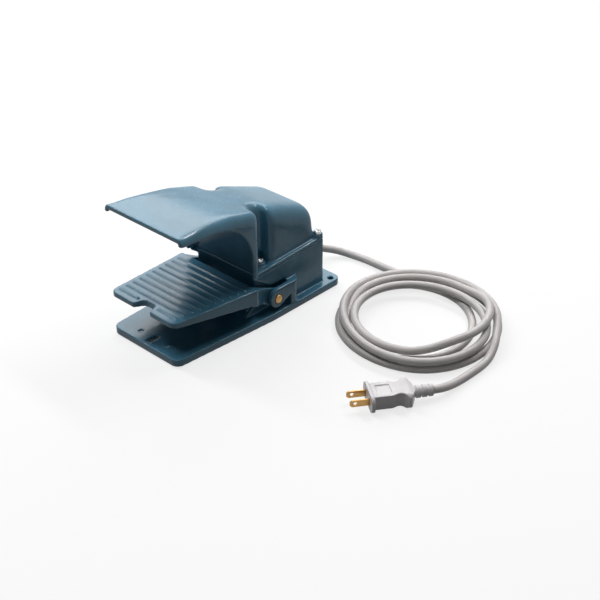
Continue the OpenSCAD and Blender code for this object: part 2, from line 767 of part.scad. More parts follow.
module pedal_casting() color(enamel) from_toe() difference() {
  union() {
    at_tread() {
      translate([0, 0, -pedal_t]) linear_extrude(pedal_t) pedal_outline();
      ribs();
      skirt();
      translate([0, spring_y + pedal_spigot_back, -pedal_t - pedal_spigot_h])
        cylinder(d = pedal_spigot_d, h = pedal_spigot_h + cut);
    }
    arms();
    finger();
  }
  both_sides()
    cross_pin(pin_y, pin_z, pin_d + 2 * (bush_t + run_gap + fit_gap), arm_in_x - cut, arm_out_x + cut);
  cross_pin(pin_y, pin_z, pin_d + 2 * run_gap, -finger_w, finger_w);
  translate([0, adjuster_y, finger_z - cut]) cylinder(d = 4 + 2 * fit_gap, h = finger_h + 2 * cut);
}

module pivot_pin() color(brass) from_toe() {
  end_x = ear_out_x + pin_proud;
  cross_pin(pin_y, pin_z, pin_d, -end_x + 0.5, end_x - 0.5);
  both_sides() translate([end_x - 0.5, pin_y, pin_z]) rotate([0, 90, 0])
    cylinder(d1 = pin_d, d2 = pin_d - 1, h = 0.5, $fn = 48);
}

module pivot_bushes() color(brass) from_toe() both_sides() difference() {
  cross_pin(pin_y, pin_z, pin_d + 2 * (bush_t + run_gap), arm_in_x, arm_out_x);
  cross_pin(pin_y, pin_z, pin_d + 2 * run_gap, arm_in_x - cut, arm_out_x + cut);
}

module adjusting_screw() color(zinc) from_toe() translate([0, adjuster_y, 0]) {
  translate([0, 0, finger_z - 5]) cylinder(d = 4, h = adjuster_z - finger_z + 4);
  translate([0, 0, adjuster_z - 1]) intersection() {
    cylinder(d = 4, h = 1);
    translate([0, 0, -1.5]) sphere(r = 2.5);
  }
}

module lock_nut() color(zinc) from_toe() translate([0, adjuster_y, finger_z + finger_h + fit_gap])
  difference() {
    cylinder(d = 8, h = 3.2, $fn = 6);
    translate([0, 0, -cut]) cylinder(d = 4 + 2 * fit_gap, h = 3.2 + 2 * cut);
  }

// ---- Return spring ----

// Point of the helix at turn t, with close end turns and an open middle
function spring_point(t, height) =
  let (
    close = spring_wire + 0.5,
    open = (height - 2 * close) / (spring_turns - 2),
    rise = t < 1 ? t * close
      : t > spring_turns - 1 ? height - (spring_turns - t) * close
      : close + (t - 1) * open,
    r = (spring_d - spring_wire) / 2
  )
  [r * cos(360 * t), spring_y + r * sin(360 * t), plate_z + spring_wire / 2 + rise];

spring_points = [
  for (i = [0:8 * spring_turns]) spring_point(i / 8, spring_top_z - plate_z - spring_wire)
];
echo(spring_least_gap = self_gap(spring_points, spring_wire, 6));

module return_spring() color(zinc) from_toe() tube(spring_points, spring_wire, 6);

// ---- Switch ----

module bracket_sheet() {
  inner_x = -switch_w / 2;
  foot_y = switch_mid_y - switch_l / 2;
  translate([inner_x - bracket_t, foot_y, bracket_z]) cube([bracket_t, switch_l, switch_h + 4]);
  translate([inner_x - bracket_foot_w, foot_y, bracket_z]) cube([bracket_foot_w, switch_l, bracket_t]);
}

module switch_holes(d) for (side = [-1, 1])
  cross_pin(switch_mid_y + side * switch_hole_gap / 2, switch_hole_z, d, -far, far);

module switch_bracket() color(zinc) from_toe() difference() {
  bracket_sheet();
  switch_holes(switch_screw_d + 2 * fit_gap);
  for (side = [-1, 1]) translate([-bracket_post[0], switch_mid_y + side * bracket_post[1], 0])
    cylinder(d = bracket_screw_d + 0.4, h = far);
}

module bracket_screws() color(zinc) from_toe() for (side = [-1, 1])
  translate([-bracket_post[0], switch_mid_y + side * bracket_post[1], bracket_z + bracket_t])
    pan_screw(bracket_screw_d, 7.5, 2.8, 10);

terminal_ys = [for (i = [-1:1]) switch_mid_y + i * terminal_pitch];

module switch_case() color(black) from_toe() difference() {
  translate([-switch_w / 2, switch_mid_y - switch_l / 2, switch_base_z]) cube([switch_w, switch_l, switch_h]);
  switch_holes(switch_screw_d + 2 * fit_gap);
  translate([0, switch_mid_y, switch_base_z - cut]) cylinder(d = plunger_d + 2 * run_gap, h = 14 + cut);
  for (y = terminal_ys) translate([0, y, switch_base_z + switch_h - 6])
    cylinder(d = terminal_screw_d + 2 * fit_gap, h = 6 + cut);
  // Barriers between the terminals are what is left of the top after these recesses
  for (y = terminal_ys) translate([-switch_w / 2 + 1.5, y - 5.5, switch_base_z + switch_h - 2])
    cube([switch_w, 11, 2 + cut]);
}

module switch_plunger() color([0.75, 0.2, 0.15]) from_toe()
  translate([0, switch_mid_y, adjuster_z + plunger_gap])
    cylinder(d = plunger_d, h = switch_base_z + 9 - adjuster_z - plunger_gap);

module switch_terminals() color(brass) from_toe() for (y = terminal_ys) difference() {
  translate([-4, y - 3.5, switch_base_z + switch_h - 2]) cube([switch_w / 2 + 7, 7, terminal_t]);
  translate([0, y, switch_base_z]) cylinder(d = terminal_screw_d + 0.3, h = far);
}

module terminal_screws() color(brass) from_toe() for (y = terminal_ys)
  translate([0, y, switch_base_z + switch_h - 2 + terminal_t]) pan_screw(terminal_screw_d, 6, 2.2, 4.5);

module switch_screws() color(zinc) from_toe() for (side = [-1, 1])
  translate([switch_w / 2, switch_mid_y + side * switch_hole_gap / 2, switch_hole_z])
    rotate([0, 90, 0]) pan_screw(switch_screw_d, 6.5, 2.4, switch_w + bracket_t + 4);

module switch_nuts() color(zinc) from_toe() for (side = [-1, 1]) {
  y = switch_mid_y + side * switch_hole_gap / 2;
  difference() {
    translate([-switch_w / 2 - bracket_t - 2.8, y, switch_hole_z]) rotate([0, 90, 0])
      cylinder(d = 7.2, h = 2.8, $fn = 6);
    cross_pin(y, switch_hole_z, switch_screw_d + 2 * fit_gap, -far, 0);
  }
}

// ---- Cord ----

boot_hole_d = cord_d + 4.6;
jacket_end_y = housing_rear_y - wall - 6;

// Boot with a groove that the rear wall sits in, tapering outwards round the cord
module cord_boot() color(grey_pvc) from_toe() translate([0, housing_rear_y, exit_z]) rotate([-90, 0, 0])
  rotate_extrude() polygon([
    [cord_d / 2 + fit_gap, -wall - 3], [boot_hole_d / 2 + 2, -wall - 3],
    [boot_hole_d / 2 + 2, -wall - fit_gap],
    [boot_hole_d / 2 - fit_gap, -wall - fit_gap], [boot_hole_d / 2 - fit_gap, fit_gap],
    [boot_hole_d / 2 + 2, fit_gap], [boot_hole_d / 2 + 1.5, 3], [boot_hole_d / 2 - 0.3, 4],
    [cord_d / 2 + 1, boot_l], [cord_d / 2 + fit_gap, boot_l]
  ]);

module cord_jacket() color(grey_pvc) from_toe() translate([0, jacket_end_y, exit_z]) rotate([-90, 0, 0])
  cylinder(d = cord_d, h = boot_tip_y - jacket_end_y);

module inner_wires() from_toe() {
  top_z = switch_base_z + switch_h + 1.5;
  wire_x = switch_w / 2 + 6;
  color(black) tube([
    [1.7, jacket_end_y, exit_z], [1.9, jacket_end_y - 4, exit_z], [5, jacket_end_y - 8, exit_z + 3],
    [11, jacket_end_y - 10, exit_z + 12], [wire_x, jacket_end_y - 10, exit_z + 24],
    [wire_x, jacket_end_y - 10, switch_base_z + switch_h - 6], [wire_x - 1.5, terminal_ys[2] + 1, top_z - 1],
    [wire_x - 6, terminal_ys[2], top_z - 1]
  ], 2.4, 8, [1, 1.5, 0]);
  color("white") tube([
    [-1.7, jacket_end_y, exit_z], [-1.7, jacket_end_y - 5, exit_z], [0, jacket_end_y - 11, exit_z + 1],
    [7, jacket_end_y - 20, exit_z + 6], [13, jacket_end_y - 26, exit_z + 14],
    [wire_x + 1, jacket_end_y - 31, exit_z + 26], [wire_x + 1, terminal_ys[0] + 8, switch_base_z + 12],
    [wire_x + 1, terminal_ys[0] + 3, switch_base_z + switch_h - 5], [wire_x - 1.5, terminal_ys[0], top_z - 1],
    [wire_x - 6, terminal_ys[0], top_z - 1]
  ], 2.4, 8, [1, 1.5, 0]);
}

// Point of the coil at turn t: it spirals in on the floor, climbs a layer and spirals out again
function coil_point(t) =
  let (
    half = coil_turns / 2,
    outer_r = t < half ? coil_r : coil_top_r,
    r = outer_r - (outer_r - coil_inner_r) * (1 - abs(t / half - 1)),
    a = coil_start_a - 360 * t,
    climb = min(1, max(0, (t - half) / 0.5 + 0.5))
  )
  [coil_centre[0] + r * cos(a), coil_centre[1] + r * sin(a), floor_z + layer_z * climb];

function coil_heading(a) = [sin(a), -cos(a), 0];
coil_end_a = coil_start_a - 360 * coil_turns;
coil_in = coil_point(0) - cord_d * coil_heading(coil_start_a);
coil_out = coil_point(coil_turns) + cord_d * coil_heading(coil_end_a);
coil_steps = 102;
coil_points = concat(
  [coil_in], [for (i = [0:coil_steps]) coil_point(coil_turns * i / coil_steps)], [coil_out]
);
echo(coil_least_gap = self_gap([for (i = [0:240]) coil_point(coil_turns * i / 240)], cord_d, 36));

module cord_lead() color(grey_pvc) from_toe()
  tube(concat([[0, boot_tip_y, exit_z]], lead_route, [coil_in]), cord_d, 8);

module cord_coil() color(grey_pvc) from_toe() tube(coil_points, cord_d, 6);

// ---- Plug ----

// The plug's own frame: its face is y = 0, its blades point along +Y
module at_plug() translate([plug_face[0], plug_face[1], plug_z]) rotate([0, 0, plug_turn]) children();

plug_heading = [-sin(plug_turn), cos(plug_turn), 0];
relief_end = [plug_face[0], plug_face[1], plug_z] - plug_l * plug_heading;

module cord_tail() color(grey_pvc) from_toe() tube(concat([coil_out], tail_route, [relief_end]), cord_d, 8);

module blade(extra = 0) {
  t = 1.5 + 2 * extra;
  w = 6.35 + 2 * extra;
  translate([-t / 2, -8 - extra, -w / 2]) cube([t, 8 + blade_l - 2 + extra, w]);
  translate([-t / 2, blade_l - 2, 0]) rotate([0, 90, 0]) linear_extrude(t)
    polygon([[-w / 2, 0], [w / 2, 0], [w / 2 - 1.5, 2], [-w / 2 + 1.5, 2]]);
}

module blades_at() for (x = [-1, 1]) translate([x * blade_gap / 2, 0, 0]) children();

module plug_section(w, h, r) polygon(rounded([
  [-w / 2, -h / 2, r], [w / 2, -h / 2, r], [w / 2, h / 2, r], [-w / 2, h / 2, r]
]));

// Outline that is the same on both sides of the plug's middle line
module mirrored_outline(half)
  polygon(rounded(concat(half, [for (i = [len(half) - 1:-1:0]) [-half[i][0], half[i][1], half[i][2]]])));

// Top view of the grip: behind the front flange it narrows to its waist, then flares to its finger flange
module grip_outline() mirrored_outline([
  [plug_w / 2, -2, 0], [plug_w / 2, -19, 8], [plug_waist_w / 2, -26.5, 5],
  [plug_finger_w / 2, -32, 1.5], [plug_finger_w / 2 - 1, -34, 1], [5, -38.5, 0]
]);

// Side view of the grip, whose finger flange stands a little above and below it
module grip_side() mirrored_outline([
  [plug_h / 2, -2, 0], [plug_h / 2, -26, 5], [plug_h / 2 + 0.8, -31.5, 2],
  [plug_h / 2 + 0.4, -34, 1], [5, -38.5, 0]
]);

// Strain relief with three grooves, turned about the cord
module relief() rotate([90, 0, 0]) rotate_extrude() polygon(concat(
  [[0, 30], [5.6, 30]],
  [for (i = [0:2], p = [[5.5, 38.6], [4.4, 38.8], [4.4, 40], [5.5, 40.2]]) [p[0] - 0.1 * i, p[1] + 5.5 * i]],
  [[5.2, plug_l - 0.6], [cord_d / 2 + 1, plug_l], [0, plug_l]]
));

module plug_body() color(grey_pvc) from_toe() at_plug() difference() {
  union() {
    along_y(-3, 0) plug_section(plug_flange_w, plug_h + 2, 6);
    intersection() {
      translate([0, 0, -far / 2]) linear_extrude(far) grip_outline();
      rotate([0, -90, 0]) translate([0, 0, -far / 2]) linear_extrude(far) grip_side();
      along_y(-40, -2) plug_section(plug_finger_w, plug_h + 1.6, 6);
    }
    relief();
  }
  blades_at() blade(fit_gap);
  translate([-6, -19, plug_h / 2 - 0.8]) cube([12, 12, 1 + cut]);
}

module plug_blades() color(brass) from_toe() at_plug() blades_at() difference() {
  blade();
  cross_pin(11.9, 0, 3.2, -3, 3);
}

base_casting();
rubber_feet();
cover_casting();
cover_screws();
pedal_casting();
pivot_pin();
pivot_bushes();
return_spring();
adjusting_screw();
lock_nut();
switch_bracket();
bracket_screws();
switch_case();
switch_plunger();
switch_terminals();
terminal_screws();
switch_screws();
switch_nuts();
cord_boot();
cord_jacket();
inner_wires();
cord_lead();
cord_coil();
cord_tail();
plug_body();
plug_blades();
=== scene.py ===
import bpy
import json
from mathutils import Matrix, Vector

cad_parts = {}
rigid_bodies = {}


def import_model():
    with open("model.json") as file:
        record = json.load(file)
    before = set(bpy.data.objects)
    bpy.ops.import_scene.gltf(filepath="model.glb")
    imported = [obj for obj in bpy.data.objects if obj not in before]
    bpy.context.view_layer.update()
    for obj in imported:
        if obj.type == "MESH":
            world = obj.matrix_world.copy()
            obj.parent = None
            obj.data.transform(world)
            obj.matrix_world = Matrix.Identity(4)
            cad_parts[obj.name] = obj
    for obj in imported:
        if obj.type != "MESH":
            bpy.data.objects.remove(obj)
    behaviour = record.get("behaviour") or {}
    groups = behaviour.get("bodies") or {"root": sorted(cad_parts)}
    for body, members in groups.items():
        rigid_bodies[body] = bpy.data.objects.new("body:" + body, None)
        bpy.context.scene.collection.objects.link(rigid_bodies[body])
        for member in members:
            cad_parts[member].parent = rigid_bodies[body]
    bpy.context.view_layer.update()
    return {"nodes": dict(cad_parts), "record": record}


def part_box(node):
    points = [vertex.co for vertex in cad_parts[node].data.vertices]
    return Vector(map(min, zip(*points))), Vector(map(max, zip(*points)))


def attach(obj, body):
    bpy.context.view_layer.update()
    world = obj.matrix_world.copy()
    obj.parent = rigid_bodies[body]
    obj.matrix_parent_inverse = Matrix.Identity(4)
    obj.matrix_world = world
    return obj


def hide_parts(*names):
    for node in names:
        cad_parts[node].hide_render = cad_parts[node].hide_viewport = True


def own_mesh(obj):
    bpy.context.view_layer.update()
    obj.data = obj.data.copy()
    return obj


bl_info = {
    "name": "Guarded foot switch",
    "version": (1, 0, 0),
    "blender": (4, 5, 0),
    "location": "3D View > Sidebar > Foot switch",
    "description": "Dresses a guarded treadle foot switch and its mains cord in a small studio",
    "category": "Object",
}

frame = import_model()

import json
import math

import bpy
from mathutils import Matrix, Vector

MM = 0.001
BODY_OF = {node: body for body, nodes in frame["record"]["behaviour"]["bodies"].items() for node in nodes}

# ---------------------------------------------------------------- shader maths


class Socket:
    """A node's output, on which plain arithmetic adds Math nodes."""

    def __init__(self, paint, output):
        self.paint = paint
        self.output = output

    def _math(self, operation, *values):
        return self.paint.node("ShaderNodeMath", {"operation": operation}, *values)

    def __add__(self, other):
        return self._math("ADD", self, other)

    __radd__ = __add__

    def __mul__(self, other):
        return self._math("MULTIPLY", self, other)

    __rmul__ = __mul__

    def __pow__(self, other):
        return self._math("POWER", self, other)

    def step(self, low, high):
        """0 below low, 1 above high, smooth between."""
        return self.paint.node(
            "ShaderNodeMapRange", {"interpolation_type": "SMOOTHSTEP"},
            **{"Value": self, "From Min": low, "From Max": high})

    def most(self, other):
        return self._math("MAXIMUM", self, other)


class Paint:
    """One material in the making: its node tree, its shader and the places that patterns are read at."""

    def __init__(self, name):
        self.material = bpy.data.materials.new(name)
        self.material.use_nodes = True
        self.tree = self.material.node_tree
        self.shader = self.tree.nodes["Principled BSDF"]
        self.place = self.node("ShaderNodeTexCoord", out="Object")

    def node(self, kind, settings=None, *values, out=0, **named):
        made = self.tree.nodes.new(kind)
        for key, value in (settings or {}).items():
            setattr(made, key, value)
        for index, value in enumerate(values):
            self._feed(made.inputs[index], value)
        for key, value in named.items():
            self._feed(made.inputs[key], value)
        return Socket(self, made.outputs[out])

    def _feed(self, socket, value):
        if isinstance(value, Socket):
            self.tree.links.new(value.output, socket)
        else:
            socket.default_value = value

    def noise(self, size, detail=2.0, stretch=None):
        """Noise whose grains are about size metres across, from 0 to 1."""
        place = self.place
        if stretch:
            place = self.node("ShaderNodeMapping", None, **{"Vector": place, "Scale": stretch})
        return self.node(
            "ShaderNodeTexNoise", None,
            **{"Vector": place, "Scale": 1 / size, "Detail": detail, "Roughness": 0.5})

    def axes(self):
        split = self.node("ShaderNodeSeparateXYZ", None, self.place)
        outputs = split.output.node.outputs
        return [Socket(self, outputs[i]) for i in range(3)]

    def mix(self, share, a, b):
        """Colour a where share is 0, b where it is 1."""
        made = self.tree.nodes.new("ShaderNodeMix")
        made.data_type = "RGBA"
        sockets = {s.identifier: s for s in made.inputs}
        self._feed(sockets["Factor_Float"], share)
        self._feed(sockets["A_Color"], (*a, 1) if isinstance(a, tuple) and len(a) == 3 else a)
        self._feed(sockets["B_Color"], (*b, 1) if isinstance(b, tuple) and len(b) == 3 else b)
        result = next(s for s in made.outputs if s.identifier == "Result_Color")
        return Socket(self, result)

    def bump(self, height, depth, strength=1.0, under=None):
        """Height from 0 to 1, over a depth in metres."""
        named = {"Height": height, "Distance": depth, "Strength": strength}
        if under is not None:
            named["Normal"] = under
        return self.node("ShaderNodeBump", None, **named)

    def set(self, **named):
        for key, value in named.items():
            self._feed(self.shader.inputs[key.replace("_", " ")], value)
        return self.material


# ---------------------------------------------------------------- meshes


def deselect():
    if bpy.context.mode != "OBJECT":
        bpy.ops.object.mode_set(mode="OBJECT")
    bpy.ops.object.select_all(action="DESELECT")


def only(piece):
    deselect()
    piece.select_set(True)
    bpy.context.view_layer.objects.active = piece
    return piece


def apply_modifier(piece, kind, **settings):
    only(piece)
    modifier = piece.modifiers.new(kind.title(), kind)
    for key, value in settings.items():
        setattr(modifier, key, value)
    bpy.ops.object.modifier_apply(modifier=modifier.name)
    return piece


def wear(piece, *materials):
    piece.data.materials.clear()
    for material in materials:
        piece.data.materials.append(material)
    return piece


def settle(piece, node):
    """The finished piece stands for a node: it rides on the node's body, and the node is hidden."""
    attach(piece, BODY_OF[node])
    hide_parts(node)
    return piece


MERGE_DISTANCE = 0.00001
FLAT_ANGLE = math.radians(0.03)


def merged_copy(node, name):
    """The node's own shape as one closed mesh of large faces."""
    piece = bpy.data.objects.new(name, frame["nodes"][node].data.copy())
    bpy.context.collection.objects.link(piece)
    only(piece)
    if piece.data.has_custom_normals:
        bpy.ops.mesh.customdata_custom_splitnormals_clear()
    bpy.ops.object.mode_set(mode="EDIT")
    bpy.ops.mesh.select_all(action="SELECT")
    bpy.ops.mesh.remove_doubles(threshold=MERGE_DISTANCE)
    bpy.ops.mesh.dissolve_limited(angle_limit=FLAT_ANGLE, use_dissolve_boundaries=False)
    bpy.ops.object.mode_set(mode="OBJECT")
    return piece


EDGE_ANGLE = math.radians(32)
SMOOTH_ANGLE = math.radians(40)


def rounded_copy(node, name, radius, segments):
    """The node's own shape with its edges rounded."""
    piece = merged_copy(node, name)
    apply_modifier(
        piece, "BEVEL", width=radius, segments=segments, limit_method="ANGLE",
        angle_limit=EDGE_ANGLE, use_clamp_overlap=False, loop_slide=True,
        miter_outer="MITER_ARC", harden_normals=False)
    only(piece)
    bpy.ops.object.shade_smooth_by_angle(angle=SMOOTH_ANGLE)
    return piece


WEIGHT_LEVELS = 16


def relax(piece, weight_of, rounds):
    """Smooths a piece by each place's own weight, from 0 to 1."""
    group = piece.vertex_groups.new(name="soft")
    levels = {}
    for vertex in piece.data.vertices:
        levels.setdefault(round(WEIGHT_LEVELS * weight_of(vertex.co)), []).append(vertex.index)
    for level, members in levels.items():
        group.add(members, level / WEIGHT_LEVELS, "REPLACE")
    apply_modifier(piece, "SMOOTH", factor=0.8, iterations=rounds, vertex_group=group.name)
    piece.vertex_groups.clear()


def cast_copy(node, name, grain, rounds, triangles, weight_of=None, soft_rounds=0):
    """The node's own shape as a casting: every edge softened and every inner corner filleted a little."""
    piece = merged_copy(node, name)
    apply_modifier(piece, "REMESH", mode="VOXEL", voxel_size=grain, adaptivity=0)
    apply_modifier(piece, "SMOOTH", factor=0.5, iterations=rounds)
    if weight_of:
        relax(piece, weight_of, soft_rounds)
    faces = 2 * len(piece.data.polygons)
    if faces > triangles:
        apply_modifier(piece, "DECIMATE", ratio=triangles / faces)
    only(piece)
    bpy.ops.object.shade_smooth()
    return piece


def ramp(value, low, high):
    """0 at low, 1 at high, smooth between."""
    share = min(1, max(0, (value - low) / (high - low)))
    return share * share * (3 - 2 * share)


# Height of the hood's lower edge by its distance from the part's middle, in millimetres
HOOD_RIM = (
    (-94, 119), (-80, 116.5), (-60, 115), (-40, 111), (-20, 97), (-10, 85), (-2, 75), (2, 58), (90, 58),
)
HOOD_FRONT = HOOD_RIM[0][0]
ROOF_HALF_W = 40
SHOULDER_SOFTNESS = 0.28
BOX_SOFTNESS = 0.7


def rim_height(y):
    for (y0, z0), (y1, z1) in zip(HOOD_RIM, HOOD_RIM[1:]):
        if y <= y1:
            return z0 + (z1 - z0) * max(0, (y - y0) / (y1 - y0))
    return HOOD_RIM[-1][1]


def cover_softness(place):
    """The cover's roof is smoothest, its shoulders less, its rim and its foot not at all."""
    x, y, z = place / MM
    roof = 1 - ramp(abs(x), ROOF_HALF_W - 14, ROOF_HALF_W) if y < 0 else BOX_SOFTNESS
    lifted = ramp(z, rim_height(y) + 1, rim_height(y) + 7)
    behind_front = ramp(y, HOOD_FRONT, HOOD_FRONT + 10)
    return lifted * behind_front * (SHOULDER_SOFTNESS + (1 - SHOULDER_SOFTNESS) * roof)


# ---------------------------------------------------------------- finishes


def enamel(colour):
    """Stove enamel on a sand casting: glossy and a little wavy."""
    paint = Paint("enamel")
    cloud = paint.noise(0.035, detail=3)
    speck = paint.noise(0.0016, detail=2)
    deep = tuple(c * 0.86 for c in colour)
    pale = tuple(min(1, c * 1.10 + 0.004) for c in colour)
    dust = speck.step(0.60, 0.72) * cloud.step(0.42, 0.66)
    base = paint.mix(cloud.step(0.3, 0.7), deep, pale)
    base = paint.mix(dust * 0.05, base, (0.36, 0.42, 0.46))
    sand = paint.noise(0.0024, detail=2)
    waves = paint.noise(0.012, detail=1)
    normal = paint.bump(waves, 0.00022, 1.0)
    normal = paint.bump(sand, 0.000045, 1.0, under=normal)
    rough = 0.18 + cloud * 0.08 + dust * 0.22
    return paint.set(
        Base_Color=base, Roughness=rough, Normal=normal, Coat_Weight=0.05, Coat_Roughness=0.09,
        Specular_IOR_Level=0.26)


def bright_zinc():
    """Zinc plate on turned steel, with a few grey stains."""
    paint = Paint("zinc_plated")
    stain = paint.noise(0.0022, detail=3)
    lines = paint.noise(0.0007, detail=1, stretch=(1, 1, 7))
    base = paint.mix(stain.step(0.45, 0.72), (0.58, 0.585, 0.59), (0.38, 0.385, 0.39))
    return paint.set(
        Base_Color=base, Metallic=1.0, Roughness=0.20 + stain * 0.16,
        Normal=paint.bump(lines, 0.00003, 0.7))


def sheet_steel():
    paint = Paint("sheet_steel")
    stain = paint.noise(0.006, detail=3)
    lines = paint.noise(0.0009, detail=1, stretch=(9, 1, 9))
    base = paint.mix(stain.step(0.4, 0.75), (0.70, 0.71, 0.72), (0.52, 0.53, 0.54))
    return paint.set(
        Base_Color=base, Metallic=1.0, Roughness=0.30 + stain * 0.15,
        Normal=paint.bump(lines, 0.00003, 0.6))


def brass(colour, name="brass", tarnish=(0.40, 0.20, 0.07)):
    """Drawn brass, darker where hands and heat have stained it."""
    paint = Paint(name)
    stain = paint.noise(0.004, detail=3)
    lines = paint.noise(0.0006, detail=1, stretch=(1, 1, 8))
    base = paint.mix(stain.step(0.44, 0.78) * 0.7, tuple(colour), tarnish)
    return paint.set(
        Base_Color=base, Metallic=1.0, Roughness=0.24 + stain * 0.2,
        Normal=paint.bump(lines, 0.00003, 0.6))


def spring_steel():
    paint = Paint("spring_wire")
    stain = paint.noise(0.003, detail=2)
    base = paint.mix(stain.step(0.4, 0.7), (0.66, 0.66, 0.66), (0.45, 0.45, 0.46))
    return paint.set(Base_Color=base, Metallic=1.0, Roughness=0.28 + stain * 0.12)


def moulded(name, colour, rough=0.45, grain=0.0009, depth=0.00003, soil=0.08):
    """Moulded plastic or rubber with a fine skin and a little soil."""
    paint = Paint(name)
    cloud = paint.noise(0.02, detail=3)
    fine = paint.noise(grain, detail=2)
    dark = tuple(c * (1 - soil) * 0.93 for c in colour)
    base = paint.mix(cloud.step(0.35, 0.7), tuple(colour), dark)
    return paint.set(
        Base_Color=base, Roughness=rough - 0.05 + cloud * 0.1, Normal=paint.bump(fine, depth, 0.8))


def jacket(colour):
    """Extruded cord jacket: satin, faintly streaked, with soil in places."""
    paint = Paint("cord_pvc")
    soil = paint.noise(0.03, detail=4)
    fine = paint.noise(0.0008, detail=2)
    slow = paint.noise(0.006, detail=1)
    base = paint.mix(soil.step(0.45, 0.75) * 0.6, tuple(colour), tuple(c * 0.80 for c in colour))
    normal = paint.bump(slow, 0.00010, 1.0)
    normal = paint.bump(fine, 0.00002, 1.0, under=normal)
    return paint.set(Base_Color=base, Roughness=0.38 + soil * 0.12, Normal=normal, Specular_IOR_Level=0.5)


def two_wires():
    """One black and one white wire, told apart by where they run."""
    paint = Paint("wire_insulation")
    attribute = paint.node("ShaderNodeAttribute", {"attribute_name": "white_wire"}, out="Fac")
    base = paint.mix(attribute, (0.02, 0.02, 0.02), (0.72, 0.72, 0.70))
    fine = paint.noise(0.0008, detail=2)
    return paint.set(Base_Color=base, Roughness=0.36, Normal=paint.bump(fine, 0.00002, 0.8))


FINISHES = {}


def finish_of(slot):
    """Each slot's material, made once."""
    settings = bpy.context.scene.foot_switch_looks
    if slot not in FINISHES:
        makers = {
            "enamel": lambda: enamel(tuple(settings.enamel_colour)),
            "zinc_plated": bright_zinc,
            "sheet_steel": sheet_steel,
            "spring_wire": spring_steel,
            "brass": lambda: brass(settings.brass_colour),
            "bronze": lambda: brass((0.50, 0.33, 0.16), "bronze", (0.22, 0.12, 0.05)),
            "foot_rubber": lambda: moulded("foot_rubber", (0.028, 0.028, 0.028), 0.7, 0.0012, 0.00006),
            "phenolic": lambda: moulded("phenolic", (0.030, 0.026, 0.022), 0.32, 0.0007, 0.00002),
            "plunger_plastic": lambda: moulded("plunger_plastic", (0.50, 0.05, 0.04), 0.25, 0.0007, 0.00001),
            "cord_pvc": lambda: jacket(tuple(settings.cord_colour)),
            "plug_pvc": lambda: moulded("plug_pvc", tuple(settings.plug_colour), 0.42, 0.0010, 0.00003, 0.05),
            "wire_insulation": two_wires,
        }
        FINISHES[slot] = makers[slot]()
    return FINISHES[slot]


# ---------------------------------------------------------------- cord route

BASE_L = 202
COIL_CENTRE = (147.3, 193.8)
COIL_START, COIL_TURNS = 117, 4.24
# The coil's radius by turn: nearly two loops on the floor, then loops on top that wander over them
COIL_RADIUS = (
    (0, 76), (0.3, 72.6), (0.45, 74.5), (0.58, 70.5), (0.7, 69.5), (0.84, 68.5), (0.96, 64),
    (1.08, 56), (1.2, 50.5), (1.32, 52), (1.44, 59), (1.54, 62.4), (1.7, 62), (1.86, 64),
    (2, 64.5), (2.2, 65), (2.38, 60), (2.52, 59.5), (2.64, 57), (2.72, 55.5), (2.86, 53),
    (3, 51), (3.12, 54), (3.22, 60.5), (3.32, 69), (3.42, 74.5), (3.48, 74.5), (3.56, 69.5),
    (3.64, 65.5), (3.72, 66), (3.86, 72), (4.05, 72.5), (4.24, 72),
)
# The number of cords that the cord lies on, by turn
COIL_LEVEL = (
    (0, 0), (1.7, 0), (1.86, 1), (2.08, 1), (2.2, 1.97), (2.36, 1.97), (2.5, 1), (4.24, 1),
)
CORD_D = 7.4
FLOOR_Z = CORD_D / 2 + 0.1
LAYER_Z = CORD_D + 0.5
LEAD_ROUTE = [
    (0, 212, 18.3), (1.5, 219, 15.5), (4.5, 227, 11), (10, 235.6, 8), (18, 242.2, 5.4), (28, 246, 4),
    (38, 247.6, 3.8), (48, 248.2, 3.8), (58, 248.2, 3.8), (68, 248.3, 3.8), (78, 249, 3.8),
    (88, 250.6, 3.8), (98, 253.5, 3.8),
]
TAIL_ROUTE = [
    (218.8, 215.5, 11.4), (224, 206.5, 9.6), (227.5, 197.5, 6.6), (230, 188, 4.5), (231.2, 177, 3.8),
    (231.3, 166, 3.8), (231, 155, 3.8), (230.4, 145, 4), (229.8, 136, 4.9), (228.9, 129, 6),
    (227.7, 122.8, 7.2),
]
PLUG_FACE = (193, 72.7, 8)
PLUG_TURN = math.radians(144)
PLUG_L = 55


COIL_STEPS = 150
SPLINE_STEPS = 4


def from_toe(point):
    """A point measured in millimetres from the plate's toe edge, in the part's frame in metres."""
    return Vector((point[0], point[1] - BASE_L / 2, point[2])) * MM


def level_between(turn, marks):
    """A value that rests at each mark and changes smoothly from one to the next."""
    for (start, low), (end, high) in zip(marks, marks[1:]):
        if turn <= end:
            return low + (high - low) * ramp(turn, start, end)
    return marks[-1][1]


def curve_between(turn, marks):
    """A value on the smooth curve through the marks."""
    last = len(marks) - 1
    i = next((i for i in range(last) if turn <= marks[i + 1][0]), last - 1)

    def slope(k):
        (t0, v0), (t1, v1) = marks[max(0, k - 1)], marks[min(last, k + 1)]
        return (v1 - v0) / (t1 - t0)

    (start, low), (end, high) = marks[i], marks[i + 1]
    span = end - start
    s = (turn - start) / span
    return (
        low * (2 * s ** 3 - 3 * s ** 2 + 1) + high * (3 * s ** 2 - 2 * s ** 3)
        + span * (slope(i) * (s ** 3 - 2 * s ** 2 + s) + slope(i + 1) * (s ** 3 - s ** 2)))


def coil_point(turn):
    r = curve_between(turn, COIL_RADIUS)
    a = math.radians(COIL_START - 360 * turn)
    z = FLOOR_Z + LAYER_Z * level_between(turn, COIL_LEVEL)
    return (COIL_CENTRE[0] + r * math.cos(a), COIL_CENTRE[1] + r * math.sin(a), z)


